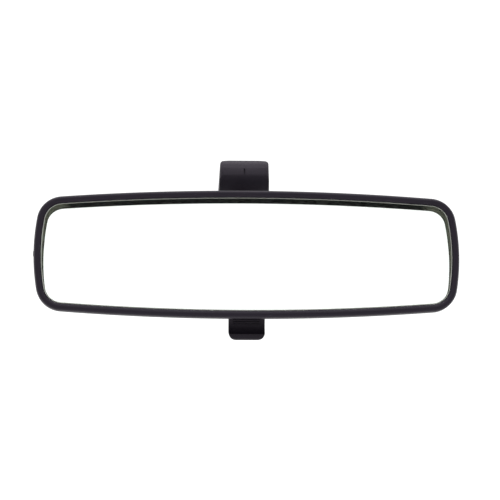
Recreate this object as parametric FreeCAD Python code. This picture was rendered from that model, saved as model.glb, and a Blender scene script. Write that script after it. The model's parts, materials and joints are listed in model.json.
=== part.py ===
import FreeCAD, Part
import math
import os

# Interior rearview mirror with a day and night dipping head.
# Millimetres. +X is the driver's right, +Y points forward to the windscreen and +Z up.
# The origin is the centre of the face that is glued to the windscreen.
# Pieces of the head are drawn about the head's own centre, with the front of the glass at
# y = 0 and mid-height at z = 0, and save_head() moves them to their place below the foot.

V = FreeCAD.Vector

# Head outline, as the driver sees it: two long arcs, two end arcs and four corner arcs
HEAD_WIDTH = 245.0
HEAD_HEIGHT = 74.4
LONG_EDGE_R = 1420.0
END_EDGE_R = 121.0
CORNER_R = 15.0

# Place of the head: below the windscreen face and behind it, towards the driver
HEAD_DROP = 53.7
HEAD_REACH = 50.0

# Rear housing
HOUSING_DEPTH = 30.0     # front of the glass to the rearmost point of the back
WALL = 2.2
DRAFT = 15.0             # lean of the side walls, degrees
BACK_HIGH_R = 160.0      # crown of the back in the upright section
BACK_WIDE_R = 700.0      # crown of the back along the head
BACK_EDGE_R = 9.0
CROWN_SHARE = 0.6        # half of the crown's surface, as a share of the head's size
HOUSING_SET = 0.25       # step between the bezel's side and the housing's side

# Front bezel
LIP_FACE = 4.2           # width of the face, outer edge to the opening
LIP_PROUD = 1.6          # lip in front of the glass
BEZEL_DEPTH = 4.5        # front of the glass to the joint with the housing
BEZEL_OUTER_R = 2.2
BEZEL_INNER_R = 1.1
SKIRT_LENGTH = 3.0
RIM_WALL = 1.0           # what is left of the housing's wall beside the skirt
SKIRT_GAP = 0.1
SKIRT_END_GAP = 0.2
NIB_HEIGHT = 2.8
NIB_PROUD = 0.3
NIB_DEPTH = 2.0
CATCH_WIDTH = 8.0
CATCH_HEIGHT = 1.0
CATCH_PROUD = 0.45
CATCH_SETBACK = 1.6      # joint face to the near side of a catch
CATCH_GAP = 0.1
CATCH_ROOT = 0.2         # catch's root inside the skirt
CATCH_PLACES = (38.0, 92.0)

# Prism glass and what is behind it
GLASS_OVERLAP = 1.0      # lip over the glass, all round
GLASS_SIDE_GAP = 0.2
GLASS_MID_T = 4.4
WEDGE_ANGLE = 3.2
ARRIS = 0.5
SILVER_T = 0.3
SILVER_GAP = 0.05
SILVER_SET = 0.6         # glass edge to the edge of the silvered layer
CUSHION_T = 2.0
CUSHION_WIDTH = 16.0
CUSHION_HEIGHT = 46.0
CUSHION_PLACE = 66.0
RIB_T = 1.6
RIB_SPREAD = 10.0        # between the two ribs under one cushion

# Ball joint, all spheres about one centre
BALL_R = 8.0
BALL_SET = 13.5          # front of the glass to the front of the ball
BALL_HEIGHT = 4.0        # above the head's centre
FIT_GAP = 0.05
LINER_T = 1.2
CLAMP_T = 0.7
SOCKET_WALL = 2.9
SOCKET_OPEN_ANGLE = 57.0
SLIT = 1.2
CAP_DEPTH = 6.8          # cap behind the ball's centre
FLANGE_T = 2.2
CAP_EDGE_R = 0.6
LUG_R = 3.4
LUG_OUT = 2.3            # lug's centre outside the socket's wall
LUG_ANGLES = (90.0, 210.0, 330.0)
LUG_T = 3.0
CAP_LUG_T = 2.9
LUG_ROOM = 0.3           # between the cap's lugs and the housing's inside
PAD_R = 6.4
PAD_T = 1.3
PAD_SIDE_GAP = 0.1
CUP_FLOOR_T = 1.6
DISC_T = 0.6
DISC_RISE = 0.9
DISC_HOLE_R = 3.0
DISC_SIDE_GAP = 0.3

# Screws
SCREW_R = 1.45
SCREW_HEAD_R = 2.7
SCREW_HEAD_T = 1.6
SCREW_RECESS_R = 1.2
SCREW_RECESS_DEPTH = 0.9
SCREW_BITE = 2.6
SCREW_TIP_GAP = 0.1

# Day and night linkage
PIN_R = 1.5
RUN_GAP = 0.05
FLIP_ANGLE = 4.0
HINGE_DEPTH = 12.0
HINGE_HEIGHT = 25.0
KNUCKLE_R = 3.6
KNUCKLE_OUT = 13.0       # outer end of a knuckle
KNUCKLE_WIDTH = 5.0
SIDE_PLAY = 0.3
EAR_T = 3.0
CLIP_T = 0.8
CLIP_R = 3.4
WEB_T = 2.5
WEB_FRONT = 12.0
WEB_HALF = 12.9
LEG_HALF = 8.0
LEG_WINDOW_HALF = 4.6
LEG_FOOT = -21.5
LEG_WINDOW_TOP = -10.6
LEG_WINDOW_FOOT = -19.5
UPPER_WINDOW_HALF = 5.5
UPPER_WINDOW_TOP = 21.0
UPPER_WINDOW_GAP = 2.0   # window above the socket
TONGUE_HALF = 4.0
TONGUE_FOOT = -27.6
PRONG_T = 1.6
PRONG_GAP = 0.15
PRONG_TOP = 1.9          # slot above the crank pin's centre

# Dip lever
LEVER_DEPTH = 14.0
LEVER_HEIGHT = -30.0
LEVER_SWING = 50.0
LEVER_REST = 15.0        # tab leans forward at rest, degrees
LEVER_WIDTH = 21.0
LEVER_LENGTH = 17.7
LEVER_T = 3.4
HUB_R = 3.3
CHEEK_IN = 4.6
CHEEK_OUT = 7.2
CRANK_LOBE_R = 2.7
TAB_TOP = 2.6
LIP_REACH = 4.0
LIP_TOP = 14.1
SCOOP_TOP = 5.0
LIP_EDGE = 1.0           # chamfer along the foot of the tab
SCOOP_BULGE = 1.3
TAB_CORNER_R = 4.4
GRIP_RIB_R = 0.45
GRIP_RIB_PITCH = 1.35
GRIP_RIB_COUNT = 3
GRIP_RIB_START = 6.1
GRIP_RIB_MARGIN = 2.6
SLOT_PLAY = 0.5
SLOT_FRONT = 6.2
SLOT_REAR = 18.8
SKIRT_BREAK = 13.0
LEVER_EAR_R = 4.0

# Detent spring on the housing's back
LEAF_T = 0.4
LEAF_BASE_FRONT = 19.2
LEAF_TOP = -12.6
LEAF_BEND = -23.0
LEAF_TOUCH = -29.5
LEAF_FOOT = -32.0
LEAF_HUB_GAP = 0.55
LEAF_HALF = 10.0
LEAF_WINDOW_HALF = 7.4
LEAF_WINDOW_TOP = -21.6
LEAF_SCREW_HEIGHT = -16.0
LEAF_BOSS_R = 3.2

# Opening for the ball joint in the housing's back
COLLAR_GAP = 1.95        # opening's edge outside the socket's wall
COLLAR_TOP_WIDTH = 2.7
COLLAR_ROOT_WIDTH = 6.1
COLLAR_RISE = 1.6
COLLAR_EDGE_R = 0.7

# Windscreen mount
RAKE = 30.0              # windscreen above the horizontal, degrees
PAD_THICK = 0.8
BUTTON_HALF = 10.0
BUTTON_LENGTH = 24.0
BUTTON_T = 4.2
POCKET_GAP = 0.2
WIRE_R = 0.8
WIRE_OUT = 0.4           # wire's centre line outside the button's side
WIRE_LEG = 8.0
PAD_INSET = 0.4
RIM_STANDOFF = 0.8

# Foot and arm, in the upright section (y, z) and from the front (x, z)
FOOT_FRONT = -18.6
FOOT_TOP_FRONT = -16.6
FOOT_TOP = 8.9
FOOT_CROWN = 0.45
FOOT_TOP_HALF = 14.45
FOOT_LOW_HALF = 14.95
FOOT_CORNER_R = 2.2
FOOT_BULGE = 0.7
CREASE = -0.2
UNDER_LEVEL = -10.5
PLAN_CROWN = 0.35
WAIST_IN = 1.5
ARM_FRONT = -11.0
ARM_HALF = 7.5
ARM_SHOULDER = -21.0
ARM_REAR_LOW = -1.5
ARM_REAR_HIGH = 3.0
ARM_OVERLAP = 6.0        # bar inside the foot
HEEL = (9.5, -15.0)
HEEL_TOP = (14.0, -7.0)
ARM_EDGE_R = 1.6
NOTCH_WIDTH = 0.9
NOTCH_HEIGHT = 3.4
NOTCH_DEPTH = 1.2
NOTCH_LEVEL = 1.8
CORE_IN = 1.1
CORE_OUT = 5.5
CORE_TOP = -20.0
CORE_FOOT = -39.0
CORE_FLOOR = -5.6

# Ball stud
NECK_R = 4.5
NECK_FLARE_R = 6.0
NECK_FLARE = 3.5
SHANK_R = 3.5
SHANK_LENGTH = 9.0
STUD_SEAT = -13.5        # front of the arm's boss
BOSS_R = 8.2
BOSS_REAR = 0.8
BOSS_EDGE_R = 1.0
STUD_PIN_R = 1.25
STUD_PIN_PLACE = 5.0     # pin behind the boss's front
STUD_PIN_SHORT = 0.4

# Places worked out from the sizes above
SLOPE = math.tan(math.radians(DRAFT))
WEDGE = math.tan(math.radians(WEDGE_ANGLE))
LINER_IN = BALL_R + FIT_GAP
LINER_OUT = LINER_IN + LINER_T
CLAMP_IN = LINER_OUT + FIT_GAP
CLAMP_OUT = CLAMP_IN + CLAMP_T
SEAT_R = CLAMP_OUT + FIT_GAP
SOCKET_R = SEAT_R + SOCKET_WALL
COLLAR_OPEN_R = SOCKET_R + COLLAR_GAP
GLASS_INSET = LIP_FACE - GLASS_OVERLAP
POCKET_INSET = GLASS_INSET - GLASS_SIDE_GAP
BALL = V(0, BALL_SET + BALL_R, BALL_HEIGHT)
HINGE = V(0, HINGE_DEPTH, HINGE_HEIGHT)
PIVOT = V(0, LEVER_DEPTH, LEVER_HEIGHT)
HEAD_PLACE = V(0, -HEAD_REACH, -HEAD_DROP)
BALL_IN_FRAME = BALL + HEAD_PLACE

# The crank pin shifts the bracket's foot as far as the head's tilt does, half each way
HALF_SWING = math.radians(LEVER_SWING / 2)
CRANK_DROP = HINGE_HEIGHT - LEVER_HEIGHT
CRANK_SHIFT = math.sin(math.radians(FLIP_ANGLE))
CRANK_R = CRANK_DROP * CRANK_SHIFT / (2 * math.sin(HALF_SWING) + CRANK_SHIFT * math.cos(HALF_SWING))
CRANK = PIVOT + V(0, -CRANK_R * math.sin(HALF_SWING), CRANK_R * math.cos(HALF_SWING))

X = V(1, 0, 0)
Y = V(0, 1, 0)
Z = V(0, 0, 1)
BEYOND = 60.0            # reach of a cutting tool past what it cuts
PAST = 1.0               # overlap of a cutting tool with the face it starts from
NEAR = 1e-3              # tolerance for picking an edge by its place


def box(low, high):
    """Box between two corners given as (x, y, z)."""
    size = [high[i] - low[i] for i in range(3)]
    return Part.makeBox(size[0], size[1], size[2], V(*low))


def rod_x(radius, half, centre):
    """Cylinder along X, the same length each side of centre."""
    return Part.makeCylinder(radius, 2 * half, centre - X * half, X)


def disc_y(radius, start, end, x=0.0, z=0.0):
    """Cylinder along Y from start to end."""
    return Part.makeCylinder(radius, end - start, V(x, start, z), Y)


def mirrored(shape):
    """The shape and its mirror image across the middle plane."""
    return [shape, shape.mirror(V(0, 0, 0), X)]


def join(shapes):
    """One solid out of shapes that meet."""
    return shapes[0].multiFuse(shapes[1:]).removeSplitter()


def arc(start, middle, end):
    """Edge of a circle through three points."""
    return Part.Arc(start, middle, end).toShape()


def line(start, end):
    """Straight edge."""
    return Part.makeLine(start, end)


def face_of(edges):
    """Flat face inside edges given in order."""
    return Part.Face(Part.Wire(edges))


def polygon(points):
    """Flat face with straight sides."""
    return Part.Face(Part.makePolygon(points + [points[0]]))


def section(points, half):
    """Solid of an upright section, points (y, z), as wide as half each side."""
    face = polygon([V(-half, y, z) for y, z in points])
    return face.extrude(X * (2 * half))


def save(name, shape):
    """Write one node's solid or solids."""
    shape.exportStep("parts/" + name + ".step")


def save_head(name, shape):
    """Write a node drawn about the head's centre."""
    moved = shape.copy()
    moved.translate(HEAD_PLACE)
    save(name, moved)


# Head outline

def long_centre():
    """Centre of the upper long edge's arc."""
    return V(0, 0, HEAD_HEIGHT / 2 - LONG_EDGE_R)


def end_centre():
    """Centre of the right end's arc."""
    return V(HEAD_WIDTH / 2 - END_EDGE_R, 0, 0)


def corner_centre():
    """Centre of the upper right corner's arc, which touches the long edge and the end."""
    to_long = LONG_EDGE_R - CORNER_R
    to_end = END_EDGE_R - CORNER_R
    across = end_centre() - long_centre()
    gap = across.Length
    unit = across * (1 / gap)
    along = (to_long ** 2 - to_end ** 2 + gap ** 2) / (2 * gap)
    aside = math.sqrt(to_long ** 2 - along ** 2)
    return long_centre() + unit * along + V(unit.z, 0, -unit.x) * aside


def towards(start, target, distance):
    """Point at a distance from start on the line through target."""
    way = target - start
    return start + way * (distance / way.Length)


def outline(inset, y):
    """Closed outline of the head moved inwards by inset, on the plane at y."""
    corner = corner_centre()
    top = towards(long_centre(), corner, LONG_EDGE_R - inset)
    end = towards(end_centre(), corner, END_EDGE_R - inset)
    middle = towards(corner, top + end - corner, CORNER_R - inset)

    def at(point, side, level):
        return V(side * point.x, y, level * point.z)

    edges = []
    for side, level in ((1, 1), (1, -1), (-1, -1), (-1, 1)):
        edges.append(arc(at(top, side, level), at(middle, side, level), at(end, side, level)))
    for sign in (1, -1):
        crest = V(0, y, sign * (HEAD_HEIGHT / 2 - inset))
        tip = V(sign * (HEAD_WIDTH / 2 - inset), y, 0)
        edges.append(arc(at(top, -1, sign), crest, at(top, 1, sign)))
        edges.append(arc(at(end, sign, 1), tip, at(end, sign, -1)))
    return Part.Wire(Part.__sortEdges__(edges))


def slab(inset, start, end):
    """Straight-sided solid of the outline."""
    return Part.Face(outline(inset, start)).extrude(Y * (end - start))


def drafted(inset, start, end):
    """Solid of the outline that leans inwards behind the joint by the housing's draft."""
    wires = [outline(inset + (y - BEZEL_DEPTH) * SLOPE, y) for y in (start, end)]
    return Part.makeLoft(wires, True, True)


def behind_glass(gap):
    """Everything behind a plane that lies gap behind the back of the wedge-shaped glass."""
    def depth(z):
        return GLASS_MID_T + gap + z * WEDGE

    points = [(depth(-BEYOND), -BEYOND), (BEYOND, -BEYOND), (BEYOND, BEYOND), (depth(BEYOND), BEYOND)]
    return section(points, HEAD_WIDTH)


# Housing

def crown(skin):
    """Solid in front of the housing's crowned back, moved inwards by skin."""
    rear = HOUSING_DEPTH - skin
    high_r = BACK_HIGH_R - skin
    level = HEAD_HEIGHT * CROWN_SHARE
    drop = high_r - math.sqrt(high_r ** 2 - level ** 2)
    low, high = V(0, rear - drop, -level), V(0, rear - drop, level)
    front_low, front_high = V(0, -BEYOND, -level), V(0, -BEYOND, level)
    edges = [arc(low, V(0, rear, 0), high), line(high, front_high),
             line(front_high, front_low), line(front_low, low)]
    half_turn = math.degrees(math.asin(HEAD_WIDTH * CROWN_SHARE / BACK_WIDE_R))
    axis_at = V(0, HOUSING_DEPTH - BACK_WIDE_R, 0)
    face = face_of(edges)
    face.rotate(axis_at, Z, -half_turn)
    return face.revolve(axis_at, Z, 2 * half_turn)


def housing_form(skin, start):
    """Outer form of the housing moved inwards by skin: drafted sides, crowned back, round edge."""
    form = drafted(HOUSING_SET + skin, start, HOUSING_DEPTH + PAST).common(crown(skin))
    back = max(form.Faces, key=lambda face: face.CenterOfMass.y)
    return form.makeFillet(BACK_EDGE_R - skin, back.Edges)


def catches(gap):
    """Catches of the bezel's skirt, or with a gap, the recesses they snap into."""
    start = BEZEL_DEPTH + CATCH_SETBACK - gap
    end = start + CATCH_HEIGHT + 2 * gap
    outer = HOUSING_SET + RIM_WALL - CATCH_PROUD - gap
    inner = HOUSING_SET + RIM_WALL + SKIRT_GAP + CATCH_ROOT
    ring = drafted(outer, start, end).cut(drafted(inner, start, end))
    half = CATCH_WIDTH / 2 + gap
    columns = []
    for place in CATCH_PLACES:
        columns += mirrored(box((place - half, 0, -BEYOND), (place + half, BEYOND, BEYOND)))
    return ring.common(Part.makeCompound(columns))


def cushion_ribs(cavity):
    """Upright ribs from the back to the cushions, two under each."""
    ribs = []
    for place in (CUSHION_PLACE - RIB_SPREAD / 2, CUSHION_PLACE + RIB_SPREAD / 2):
        plate = box((place - RIB_T / 2, 0, -BEYOND), (place + RIB_T / 2, BEYOND, BEYOND))
        ribs += mirrored(plate)
    seat = behind_glass(SILVER_GAP + SILVER_T + CUSHION_T)
    return [rib.common(cavity).common(seat) for rib in ribs]


def hinge_ears(cavity):
    """Two ears from the top wall that hold the hinge pin."""
    inner = KNUCKLE_OUT + SIDE_PLAY
    plate = box((inner, HINGE.y - KNUCKLE_R, HINGE.z), (inner + EAR_T, HINGE.y + KNUCKLE_R, BEYOND))
    boss = disc_x_between(KNUCKLE_R, inner, inner + EAR_T, HINGE)
    return [ear.common(cavity) for ear in mirrored(join([plate, boss]))]


def disc_x_between(radius, start, end, centre):
    """Cylinder along X between two distances from the middle."""
    return Part.makeCylinder(radius, end - start, V(start, centre.y, centre.z), X)


def lever_ears(cavity):
    """Two ears from the bottom wall that hold the lever's pin."""
    inner = LEVER_WIDTH / 2 + SLOT_PLAY
    plate = box((inner, PIVOT.y - LEVER_EAR_R, -BEYOND), (inner + EAR_T, PIVOT.y + LEVER_EAR_R, PIVOT.z))
    boss = disc_x_between(LEVER_EAR_R, inner, inner + EAR_T, PIVOT)
    return [ear.common(cavity) for ear in mirrored(join([plate, boss]))]


def collar():
    """Raised collar round the ball joint's opening."""
    rear = HOUSING_DEPTH + COLLAR_RISE
    cone = Part.makeCone(COLLAR_OPEN_R + COLLAR_ROOT_WIDTH, COLLAR_OPEN_R + COLLAR_TOP_WIDTH,
                         2 * COLLAR_RISE + WALL, V(0, rear - 2 * COLLAR_RISE - WALL, BALL.z), Y)
    rim = [edge for edge in cone.Edges if abs(edge.CenterOfMass.y - rear) < NEAR]
    return cone.makeFillet(COLLAR_EDGE_R, rim)


def leaf_boss(cavity):
    """Boss on the back for the detent spring's screw."""
    boss = disc_y(LEAF_BOSS_R, LEAF_BASE_FRONT + LEAF_T, BEYOND, 0, LEAF_SCREW_HEIGHT)
    return boss.common(cavity)


def make_rear_housing():
    """Shell with ribs, ears, bosses, the lever's slot and the ball joint's opening."""
    outer = housing_form(0.0, BEZEL_DEPTH)
    cavity = housing_form(WALL, BEZEL_DEPTH - PAST)
    shell = join([outer, collar()]).cut(cavity)
    rebate_end = BEZEL_DEPTH + SKIRT_LENGTH + SKIRT_END_GAP
    rebate = drafted(HOUSING_SET + RIM_WALL, BEZEL_DEPTH - PAST, rebate_end)
    inside = drafted(HOUSING_SET + RIM_WALL * 2, rebate_end, BEYOND)
    reach = housing_form(WALL / 2, BEZEL_DEPTH).common(inside)
    extras = cushion_ribs(cavity.cut(rebate)) + hinge_ears(reach) + lever_ears(reach)
    extras.append(leaf_boss(reach))
    housing = join([shell] + extras)
    slot_half = LEVER_WIDTH / 2 + SLOT_PLAY
    cuts = [rebate.cut(inside), catches(CATCH_GAP)]
    cuts.append(disc_y(COLLAR_OPEN_R, BALL.y, BEYOND, 0, BALL.z))
    for x, z in lug_places():
        cuts.append(disc_y(LUG_R + LUG_ROOM, BALL.y, BALL.y + CAP_LUG_T + LUG_ROOM, x, z))
    cuts.append(box((-slot_half, SLOT_FRONT, -BEYOND), (slot_half, SLOT_REAR, PIVOT.z)))
    cuts.append(rod_x(PIN_R, BEYOND, HINGE))
    cuts.append(rod_x(PIN_R, BEYOND / 2, PIVOT))
    cuts.append(disc_y(SCREW_R, 0, LEAF_BASE_FRONT + LEAF_T + SCREW_BITE, 0, LEAF_SCREW_HEIGHT))
    for cut in cuts:
        housing = housing.cut(cut)
    return housing


def make_front_bezel():
    """Ring that laps the glass and snaps into the housing's rim."""
    ring = slab(0.0, -LIP_PROUD, BEZEL_DEPTH)
    front = min(ring.Faces, key=lambda face: face.CenterOfMass.y)
    ring = ring.makeFillet(BEZEL_OUTER_R, front.Edges)
    skirt_outer = drafted(HOUSING_SET + RIM_WALL + SKIRT_GAP, BEZEL_DEPTH, BEZEL_DEPTH + SKIRT_LENGTH)
    gap = box((-SKIRT_BREAK, BEZEL_DEPTH, -BEYOND), (SKIRT_BREAK, BEYOND, 0))
    ring = join([ring, skirt_outer.cut(gap), catches(0.0)])
    opening = slab(LIP_FACE, -BEYOND, BEYOND)
    pocket = slab(POCKET_INSET, 0.0, BEYOND)
    ring = ring.cut(pocket).cut(opening)
    inner = [edge for edge in ring.Edges if edge.BoundBox.YMax < -LIP_PROUD + NEAR]
    ring = ring.makeFillet(BEZEL_INNER_R, inner)
    tip = HEAD_WIDTH / 2
    nib = box((tip - PAST, BEZEL_DEPTH - NIB_DEPTH, -NIB_HEIGHT / 2),
              (tip + NIB_PROUD, BEZEL_DEPTH, NIB_HEIGHT / 2))
    return join([ring] + mirrored(nib))


# Glass and its backing

def make_prism_glass():
    """Wedge-shaped glass, thick at the top, with a ground arris round its front."""
    plate = slab(GLASS_INSET, 0.0, BEYOND).cut(behind_glass(0.0))
    front = min(plate.Faces, key=lambda face: face.CenterOfMass.y)
    return plate.makeChamfer(ARRIS, front.Edges)


def make_silver_backing():
    """Silvered layer on the back of the glass."""
    plate = slab(GLASS_INSET + SILVER_SET, 0.0, BEYOND)
    return plate.common(behind_glass(SILVER_GAP)).cut(behind_glass(SILVER_GAP + SILVER_T))


def make_cushion():
    """Foam strip between the silvered layer and the right-hand ribs."""
    low = (CUSHION_PLACE - CUSHION_WIDTH / 2, 0, -CUSHION_HEIGHT / 2)
    high = (CUSHION_PLACE + CUSHION_WIDTH / 2, BEYOND, CUSHION_HEIGHT / 2)
    start = SILVER_GAP + SILVER_T
    return box(low, high).common(behind_glass(start)).cut(behind_glass(start + CUSHION_T))


# Ball joint

def ball_shell(inner, outer, slits):
    """Spherical shell about the ball, open to the rear, with slits round the opening."""
    def at(radius, angle):
        turn = math.radians(angle)
        return BALL + V(radius * math.sin(turn), radius * math.cos(turn), 0)

    half_way = (SOCKET_OPEN_ANGLE + 180) / 2
    edges = [arc(at(outer, SOCKET_OPEN_ANGLE), at(outer, half_way), at(outer, 180)),
             line(at(outer, 180), at(inner, 180)),
             arc(at(inner, 180), at(inner, half_way), at(inner, SOCKET_OPEN_ANGLE)),
             line(at(inner, SOCKET_OPEN_ANGLE), at(outer, SOCKET_OPEN_ANGLE))]
    shell = face_of(edges).revolve(BALL, Y, 360)
    for index in range(slits):
        slit = box((-SLIT / 2, 0, 0), (SLIT / 2, 2 * outer, 2 * outer))
        slit.translate(BALL)
        slit.rotate(BALL, Y, 360.0 * (index + 0.5) / slits)
        shell = shell.cut(slit)
    return shell


def socket_mouth():
    """Conical room that the stud's neck swings in."""
    reach = 2 * SOCKET_R
    return Part.makeCone(0, reach * math.tan(math.radians(SOCKET_OPEN_ANGLE)), reach, BALL, Y)


def lug_places():
    """Centres of the socket's screw lugs as (x, z)."""
    out = SOCKET_R + LUG_OUT
    places = []
    for angle in LUG_ANGLES:
        turn = math.radians(angle)
        places.append((out * math.cos(turn), BALL.z + out * math.sin(turn)))
    return places


def make_socket_cap():
    """Ring that closes the socket behind the ball, with a flange and three lugs."""
    ring = disc_y(SOCKET_R, BALL.y, BALL.y + CAP_DEPTH, 0, BALL.z)
    rear = [edge for edge in ring.Edges if edge.BoundBox.YMin > BALL.y + CAP_DEPTH - NEAR]
    ring = ring.makeFillet(CAP_EDGE_R, rear)
    pieces = [ring]
    for x, z in lug_places():
        pieces.append(disc_y(LUG_R, BALL.y, BALL.y + CAP_LUG_T, x, z))
    pieces.append(disc_y(SOCKET_R + LUG_OUT / 2, BALL.y, BALL.y + FLANGE_T, 0, BALL.z))
    cap = join(pieces).cut(Part.makeSphere(SEAT_R, BALL)).cut(socket_mouth())
    for x, z in lug_places():
        cap = cap.cut(disc_y(SCREW_R, BALL.y - PAST, BALL.y + SCREW_BITE, x, z))
    return cap


def pad_back():
    """Front of the pad's bore, where the disc spring starts."""
    return BALL.y - SEAT_R - PAD_T


def make_seat_pad():
    """Dished pad that the disc spring presses on the ball joint."""
    pad = disc_y(PAD_R, pad_back(), BALL.y, 0, BALL.z)
    pad = pad.cut(Part.makeSphere(SEAT_R, BALL))
    return pad.common(disc_y(PAD_R, 0, BALL.y - SEAT_R + 2 * PAD_T, 0, BALL.z))


def make_pressure_spring():
    """Coned disc spring between the socket's floor and the pad."""
    rim = PAD_R - DISC_SIDE_GAP
    back = pad_back()
    front = back - DISC_RISE - DISC_T
    points = [V(rim, front, 0), V(rim, front + DISC_T, 0),
              V(DISC_HOLE_R, back, 0), V(DISC_HOLE_R, back - DISC_T, 0)]
    disc = polygon(points).revolve(V(0, 0, 0), Y, 360)
    disc.translate(V(0, 0, BALL.z))
    return disc


def floor_front():
    """Front of the socket cup's floor."""
    return pad_back() - DISC_RISE - DISC_T - CUP_FLOOR_T


def make_toggle_bracket():
    """Socket cup with a web up to the hinge and a forked tongue down to the crank pin."""
    front = floor_front()
    web_rear = WEB_FRONT + WEB_T
    pieces = [disc_y(SOCKET_R, front, BALL.y, 0, BALL.z)]
    for x, z in lug_places():
        pieces.append(disc_y(LUG_R, BALL.y - LUG_T, BALL.y, x, z))
    pieces.append(box((-WEB_HALF, WEB_FRONT, BALL.z), (WEB_HALF, web_rear, HINGE.z)))
    inner = KNUCKLE_OUT - KNUCKLE_WIDTH
    pieces += mirrored(disc_x_between(KNUCKLE_R, inner, KNUCKLE_OUT, HINGE))
    pieces.append(box((-LEG_HALF, WEB_FRONT, LEG_FOOT), (LEG_HALF, web_rear, BALL.z)))
    prong_half = PIN_R + PRONG_GAP + PRONG_T
    pieces.append(box((-TONGUE_HALF, CRANK.y - prong_half, TONGUE_FOOT),
                      (TONGUE_HALF, CRANK.y + prong_half, LEG_WINDOW_FOOT)))
    bracket = join(pieces)
    slot_half = PIN_R + PRONG_GAP
    bore = PAD_R + PAD_SIDE_GAP
    cuts = [Part.makeSphere(SEAT_R, BALL), disc_y(bore, front + CUP_FLOOR_T, BALL.y, 0, BALL.z)]
    cuts.append(rod_x(PIN_R + RUN_GAP, BEYOND, HINGE))
    cuts.append(box((-inner, HINGE.y - KNUCKLE_R - PAST, UPPER_WINDOW_TOP), (inner, BEYOND, BEYOND)))
    cuts.append(box((-UPPER_WINDOW_HALF, 0, BALL.z + SOCKET_R + UPPER_WINDOW_GAP),
                    (UPPER_WINDOW_HALF, BEYOND, BEYOND)))
    cuts.append(box((-LEG_WINDOW_HALF, WEB_FRONT - PAST, LEG_WINDOW_FOOT),
                    (LEG_WINDOW_HALF, web_rear + PAST, LEG_WINDOW_TOP)))
    cuts.append(box((-BEYOND, CRANK.y - slot_half, -BEYOND),
                    (BEYOND, CRANK.y + slot_half, CRANK.z + PRONG_TOP)))
    for x, z in lug_places():
        cuts.append(disc_y(SCREW_R, BALL.y - LUG_T - PAST, BALL.y + PAST, x, z))
        cuts.append(disc_y(SCREW_HEAD_R + PAD_SIDE_GAP, WEB_FRONT - PAST, BALL.y - LUG_T, x, z))
    for cut in cuts:
        bracket = bracket.cut(cut)
    return bracket


def screw(seat, x, z, length):
    """Pan-head screw along Y, its head in front of seat, with a square recess."""
    head = disc_y(SCREW_HEAD_R, seat - SCREW_HEAD_T, seat, x, z)
    rim = [edge for edge in head.Edges if edge.BoundBox.YMax < seat - SCREW_HEAD_T + NEAR]
    head = head.makeFillet(SCREW_HEAD_T / 2, rim)
    shank = disc_y(SCREW_R, seat, seat + length, x, z)
    recess = box((x - SCREW_RECESS_R, seat - SCREW_HEAD_T - PAST, z - SCREW_RECESS_R / 4),
                 (x + SCREW_RECESS_R, seat - SCREW_HEAD_T + SCREW_RECESS_DEPTH, z + SCREW_RECESS_R / 4))
    cross = recess.copy()
    cross.rotate(V(x, 0, z), Y, 90)
    return join([head, shank]).cut(recess).cut(cross)


def make_cap_screws():
    """Three screws from the bracket's lugs into the cap's lugs."""
    seat = BALL.y - LUG_T
    length = LUG_T + SCREW_BITE - SCREW_TIP_GAP
    return Part.makeCompound([screw(seat, x, z, length) for x, z in lug_places()])


# Day and night linkage

def make_hinge_pin():
    """Steel pin through the housing's ears and the bracket's knuckles."""
    half = KNUCKLE_OUT + SIDE_PLAY + EAR_T + CLIP_T
    return rod_x(PIN_R, half, HINGE)


def make_pin_clips():
    """Push-on clips outside the housing's ears."""
    start = KNUCKLE_OUT + SIDE_PLAY + EAR_T
    clip = disc_x_between(CLIP_R, start, start + CLIP_T, HINGE)
    return Part.makeCompound(mirrored(clip.cut(rod_x(PIN_R, BEYOND, HINGE))))


def make_lever_pin():
    """Steel pin through the housing's ears and the lever's hub."""
    return rod_x(PIN_R, LEVER_WIDTH / 2 + SLOT_PLAY + EAR_T, PIVOT)


def make_crank_pin():
    """Steel pin across the lever's cheeks, in the bracket's fork."""
    return rod_x(PIN_R, CHEEK_OUT, CRANK)


def tab_section():
    """Upright section of the tab about the pivot: flat back, scooped front, lip at its foot."""
    half = LEVER_T / 2
    foot = -LEVER_LENGTH
    points = [(half, -TAB_TOP), (half, foot + LIP_EDGE), (half - LIP_EDGE, foot),
              (-LIP_REACH + LIP_EDGE, foot), (-LIP_REACH, foot + LIP_EDGE),
              (-LIP_REACH, -LIP_TOP), (-half, -SCOOP_TOP), (-half, -TAB_TOP)]
    corners = [V(0, y, z) for y, z in points]
    edges = [line(corners[i], corners[i + 1]) for i in range(5)]
    middle = (corners[5] + corners[6]) * 0.5 + V(0, SCOOP_BULGE, 0)
    edges.append(arc(corners[5], middle, corners[6]))
    edges += [line(corners[6], corners[7]), line(corners[7], corners[0])]
    face = face_of(edges)
    face.translate(X * (-LEVER_WIDTH / 2))
    return face.extrude(X * LEVER_WIDTH)


def tab_outline():
    """Front view of the tab: straight sides and round lower corners."""
    half = LEVER_WIDTH / 2
    foot = -LEVER_LENGTH
    r = TAB_CORNER_R
    bend = r * (1 - math.sqrt(0.5))
    edges = [line(V(-half, 0, 0), V(half, 0, 0)), line(V(half, 0, 0), V(half, 0, foot + r)),
             arc(V(half, 0, foot + r), V(half - bend, 0, foot + bend), V(half - r, 0, foot)),
             line(V(half - r, 0, foot), V(r - half, 0, foot)),
             arc(V(r - half, 0, foot), V(bend - half, 0, foot + bend), V(-half, 0, foot + r)),
             line(V(-half, 0, foot + r), V(-half, 0, 0))]
    face = face_of(edges)
    face.translate(Y * (-BEYOND / 2))
    return face.extrude(Y * BEYOND)


def grip_ribs():
    """Fine ribs across the upper part of the tab's front."""
    half = LEVER_WIDTH / 2 - GRIP_RIB_MARGIN
    ribs = []
    for index in range(GRIP_RIB_COUNT):
        level = -GRIP_RIB_START - index * GRIP_RIB_PITCH
        ribs.append(rod_x(GRIP_RIB_R, half, V(0, scoop_front(level), level)))
    return ribs


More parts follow.
